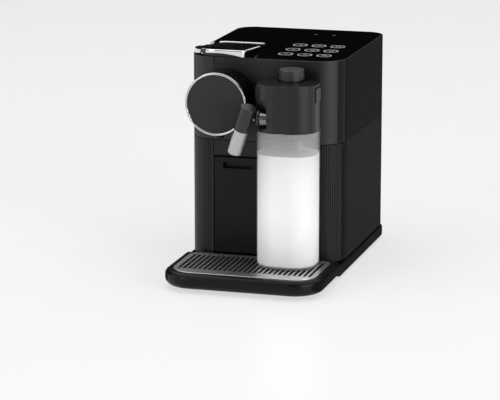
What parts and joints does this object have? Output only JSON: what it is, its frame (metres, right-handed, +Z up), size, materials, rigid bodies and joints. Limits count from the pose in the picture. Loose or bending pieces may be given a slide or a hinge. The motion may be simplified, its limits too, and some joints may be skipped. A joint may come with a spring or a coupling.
{
  "type": "pod coffee machine",
  "caption": "Pod coffee machine with a lever-worked capsule chamber, round coffee outlet, slotted drip tray and a clip-on milk jug with a swinging spout.",
  "frame": {"origin": "centre of the footprint on the table", "axes": "+X to the machine's right as seen from the front, +Y to the back, +Z up; the front faces -Y"},
  "size_m": [0.203, 0.367, 0.2849],
  "materials": {
    "gloss_black": "high gloss",
    "satin_anthracite": "satin",
    "ribbed_black": "satin, fine vertical ribs",
    "base_black": "fine matt grain",
    "disc_grey": "satin",
    "chrome": "polished",
    "steel": "polished stainless",
    "clear_plastic": "clear",
    "smoke_plastic": "smoke clear",
    "rubber": "matt",
    "hose": "translucent silicone",
    "inner_plastic": "matt",
    "inner_aluminium": "cast",
    "inner_steel": "plain",
    "board_green": "solder mask"
  },
  "bodies": {
    "chassis": {"base_plate": "base_black", "rubber_feet": "rubber", "base_screws": "inner_steel", "cord_gland": "rubber", "lower_housing": "ribbed_black", "ribbed_panel_left": "ribbed_black", "ribbed_panel_right": "ribbed_black", "front_fascia": "base_black", "upper_housing": "satin_anthracite", "top_panel": "gloss_black", "touch_board": "board_green", "capsule_chute": "base_black", "outlet_drum": "gloss_black", "outlet_ring": "chrome", "outlet_disc": "disc_grey", "coffee_outlet": "gloss_black", "steam_nozzle": "inner_steel", "brew_frame": "inner_plastic", "injection_head": "inner_plastic", "heater_block": "inner_aluminium", "water_pump": "inner_steel", "pump_bracket": "inner_plastic", "pump_rings": "rubber", "flow_meter": "inner_plastic", "steam_valve": "inner_plastic", "control_board": "board_green", "board_standoffs": "inner_plastic", "suction_hose": "hose", "pump_hose": "hose", "pressure_hose": "hose", "steam_hose": "hose", "tank_socket": "inner_plastic"},
    "lever": {"lever_frame": "chrome", "lever_inlay": "gloss_black", "lever_shaft": "inner_steel", "lever_yoke": "inner_plastic"},
    "carriage": {"capsule_carriage": "inner_plastic", "pierce_plate": "inner_steel", "carriage_pins": "inner_steel"},
    "tray": {"drip_tray": "base_black", "drip_grid": "steel"},
    "bin": {"capsule_bin": "base_black"},
    "jug": {"milk_jug": "clear_plastic", "lid_gasket": "rubber"},
    "lid": {"jug_lid": "satin_anthracite", "froth_chamber": "inner_plastic", "dock_seal": "rubber", "pickup_tube": "inner_plastic", "swivel_ring": "chrome"},
    "knob": {"froth_knob": "satin_anthracite"},
    "spout": {"swivel_link": "chrome", "spout_sleeve": "gloss_black", "spout_tip": "chrome"},
    "button_left": {"release_button_left": "satin_anthracite"},
    "button_right": {"release_button_right": "satin_anthracite"},
    "tank": {"water_tank": "smoke_plastic", "tank_cover": "base_black", "tank_valve": "inner_plastic"}
  },
  "joints": [
    {"name": "lever_hinge", "type": "hinge", "parent": "chassis", "child": "lever", "pos_m": [-0.0557, 0.042, 0.268], "axis": [-1, 0, 0], "range_deg": [0, 80]},
    {"name": "carriage_slide", "type": "slide", "parent": "chassis", "child": "carriage", "axis": [0, -1, 0], "range_m": [0, 0.02802]},
    {"name": "tray_slide", "type": "slide", "parent": "chassis", "child": "tray", "axis": [0, -1, 0], "range_m": [0, 0.13]},
    {"name": "bin_slide", "type": "slide", "parent": "chassis", "child": "bin", "axis": [0, -1, 0], "range_m": [0, 0.115]},
    {"name": "jug_slide", "type": "slide", "parent": "chassis", "child": "jug", "axis": [0, -1, 0], "range_m": [0, 0.15]},
    {"name": "lid_lift", "type": "slide", "parent": "jug", "child": "lid", "axis": [0, 0, 1], "range_m": [0, 0.175]},
    {"name": "knob_turn", "type": "hinge", "parent": "lid", "child": "knob", "pos_m": [0.042, -0.085, 0.26], "axis": [0, 0, 1], "range_deg": [-50, 50]},
    {"name": "spout_swing", "type": "hinge", "parent": "lid", "child": "spout", "pos_m": [0.0226, -0.123, 0.2114], "axis": [-1, 0, 0], "range_deg": [0, 40]},
    {"name": "left_button_press", "type": "slide", "parent": "lid", "child": "button_left", "axis": [1, 0, 0], "range_m": [0, 0.0025], "stiffness_N_per_m": 600},
    {"name": "right_button_press", "type": "slide", "parent": "lid", "child": "button_right", "axis": [-1, 0, 0], "range_m": [0, 0.0025], "stiffness_N_per_m": 600},
    {"name": "tank_slide", "type": "slide", "parent": "chassis", "child": "tank", "axis": [0, 1, 0], "range_m": [0, 0.08]}
  ],
  "couplings": [
    {"joint": "carriage_slide", "follows": "lever_hinge", "m_per_rad": 0.020054}
  ]
}
